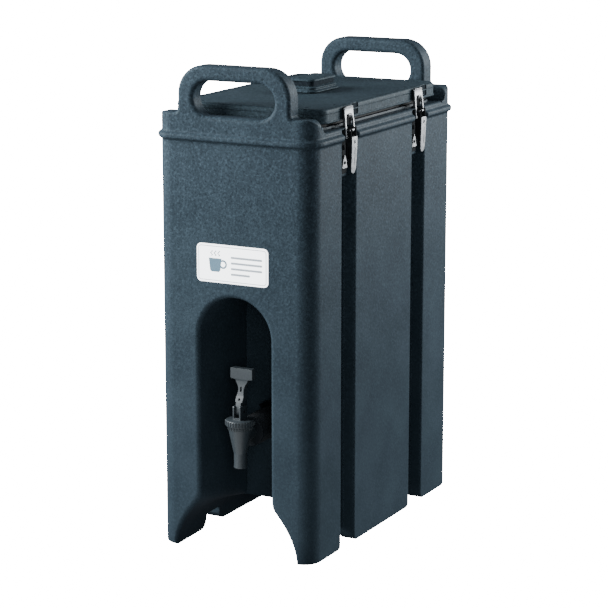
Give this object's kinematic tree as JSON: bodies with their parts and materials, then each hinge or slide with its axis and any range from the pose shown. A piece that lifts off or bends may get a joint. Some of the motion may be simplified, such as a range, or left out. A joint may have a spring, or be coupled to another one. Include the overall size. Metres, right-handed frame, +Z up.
{
  "type": "insulated beverage server",
  "caption": "Tall double-walled insulated drink server with end handles, an arched tap recess, a latched lift-off lid with a vent cap, and a self-closing tap.",
  "frame": {"origin": "on the floor under the middle of the body", "axes": "+Z up, -Y towards the tap side, +X across the width"},
  "size_m": [0.2348, 0.419, 0.616],
  "materials": {
    "body_plastic": "fine pebble grain, dark slate",
    "lid_plastic": "fine pebble grain, dark slate",
    "tank_plastic": "smooth satin",
    "foam": "rigid closed-cell foam",
    "silicone": "soft matt",
    "label_white": "smooth, slightly glossy",
    "tap_black": "glossy black",
    "latch_steel": "brushed stainless",
    "latch_dark_steel": "dark coated steel"
  },
  "bodies": {
    "body": {"outer_shell": "body_plastic", "tank_liner": "tank_plastic", "insulation_foam": "foam", "label_plate": "label_white", "tap_body": "tap_black", "tap_bonnet": "tap_black", "tap_handle_pin": "latch_dark_steel", "tap_outer_washer": "silicone", "tap_inner_washer": "silicone", "tap_lock_nut": "tap_black", "latch_base_front_right": "latch_dark_steel", "latch_base_front_left": "latch_dark_steel", "latch_base_rear_right": "latch_dark_steel", "latch_base_rear_left": "latch_dark_steel", "latch_pivot_pin_front_right": "latch_steel", "latch_pivot_pin_front_left": "latch_steel", "latch_pivot_pin_rear_right": "latch_steel", "latch_pivot_pin_rear_left": "latch_steel", "base_rivet_low_front_right": "latch_steel", "base_rivet_high_front_right": "latch_steel", "base_rivet_low_front_left": "latch_steel", "base_rivet_high_front_left": "latch_steel", "base_rivet_low_rear_right": "latch_steel", "base_rivet_high_rear_right": "latch_steel", "base_rivet_low_rear_left": "latch_steel", "base_rivet_high_rear_left": "latch_steel"},
    "lid": {"lid_shell": "lid_plastic", "lid_liner": "tank_plastic", "lid_foam": "foam", "lid_gasket": "silicone", "latch_keeper_front_right": "latch_steel", "latch_keeper_front_left": "latch_steel", "latch_keeper_rear_right": "latch_steel", "latch_keeper_rear_left": "latch_steel", "keeper_rivet_a_front_right": "latch_steel", "keeper_rivet_b_front_right": "latch_steel", "keeper_rivet_a_front_left": "latch_steel", "keeper_rivet_b_front_left": "latch_steel", "keeper_rivet_a_rear_right": "latch_steel", "keeper_rivet_b_rear_right": "latch_steel", "keeper_rivet_a_rear_left": "latch_steel", "keeper_rivet_b_rear_left": "latch_steel"},
    "vent_cap": {"vent_cap": "lid_plastic", "vent_gasket": "silicone"},
    "tap_handle": {"tap_handle": "tap_black"},
    "tap_stem": {"tap_stem": "tap_black", "tap_seat_cup": "silicone"},
    "latch_lever_front_right": {"latch_lever_front_right": "latch_steel"},
    "latch_bail_front_right": {"latch_bail_front_right": "latch_steel"},
    "latch_lever_front_left": {"latch_lever_front_left": "latch_steel"},
    "latch_bail_front_left": {"latch_bail_front_left": "latch_steel"},
    "latch_lever_rear_right": {"latch_lever_rear_right": "latch_steel"},
    "latch_bail_rear_right": {"latch_bail_rear_right": "latch_steel"},
    "latch_lever_rear_left": {"latch_lever_rear_left": "latch_steel"},
    "latch_bail_rear_left": {"latch_bail_rear_left": "latch_steel"}
  },
  "joints": [
    {"name": "lid_lift", "type": "slide", "parent": "body", "child": "lid", "axis": [0, 0, 1], "range_m": [0, 0.12]},
    {"name": "vent_cap_lift", "type": "slide", "parent": "lid", "child": "vent_cap", "axis": [0, 0, 1], "range_m": [0, 0.06]},
    {"name": "tap_handle_tilt", "type": "hinge", "parent": "body", "child": "tap_handle", "pos_m": [0, -0.1903, 0.184], "axis": [1, 0, 0], "range_deg": [0, 30], "stiffness_Nm_per_rad": 0.3, "springref_deg": -17.19},
    {"name": "tap_stem_lift", "type": "slide", "parent": "body", "child": "tap_stem", "axis": [0, 0, 1], "range_m": [0, 0.004]},
    {"name": "lever_front_right_open", "type": "hinge", "parent": "body", "child": "latch_lever_front_right", "pos_m": [0.114, -0.108, 0.5355], "axis": [0, -1, 0], "range_deg": [0, 95]},
    {"name": "bail_front_right_swing", "type": "hinge", "parent": "latch_lever_front_right", "child": "latch_bail_front_right", "pos_m": [0.1115, -0.108, 0.5275], "axis": [0, -1, 0], "range_deg": [-152, 0]},
    {"name": "lever_front_left_open", "type": "hinge", "parent": "body", "child": "latch_lever_front_left", "pos_m": [-0.114, -0.108, 0.5355], "axis": [0, 1, 0], "range_deg": [0, 95]},
    {"name": "bail_front_left_swing", "type": "hinge", "parent": "latch_lever_front_left", "child": "latch_bail_front_left", "pos_m": [-0.1115, -0.108, 0.5275], "axis": [0, 1, 0], "range_deg": [-152, 0]},
    {"name": "lever_rear_right_open", "type": "hinge", "parent": "body", "child": "latch_lever_rear_right", "pos_m": [0.114, 0.094, 0.5355], "axis": [0, -1, 0], "range_deg": [0, 95]},
    {"name": "bail_rear_right_swing", "type": "hinge", "parent": "latch_lever_rear_right", "child": "latch_bail_rear_right", "pos_m": [0.1115, 0.094, 0.5275], "axis": [0, -1, 0], "range_deg": [-152, 0]},
    {"name": "lever_rear_left_open", "type": "hinge", "parent": "body", "child": "latch_lever_rear_left", "pos_m": [-0.114, 0.094, 0.5355], "axis": [0, 1, 0], "range_deg": [0, 95]},
    {"name": "bail_rear_left_swing", "type": "hinge", "parent": "latch_lever_rear_left", "child": "latch_bail_rear_left", "pos_m": [-0.1115, 0.094, 0.5275], "axis": [0, 1, 0], "range_deg": [-152, 0]}
  ],
  "couplings": [
    {"joint": "tap_stem_lift", "follows": "tap_handle_tilt", "m_per_rad": 0.0076},
    {"joint": "bail_front_right_swing", "follows": "lever_front_right_open", "ratio": -1.6},
    {"joint": "bail_front_left_swing", "follows": "lever_front_left_open", "ratio": -1.6},
    {"joint": "bail_rear_right_swing", "follows": "lever_rear_right_open", "ratio": -1.6},
    {"joint": "bail_rear_left_swing", "follows": "lever_rear_left_open", "ratio": -1.6}
  ]
}
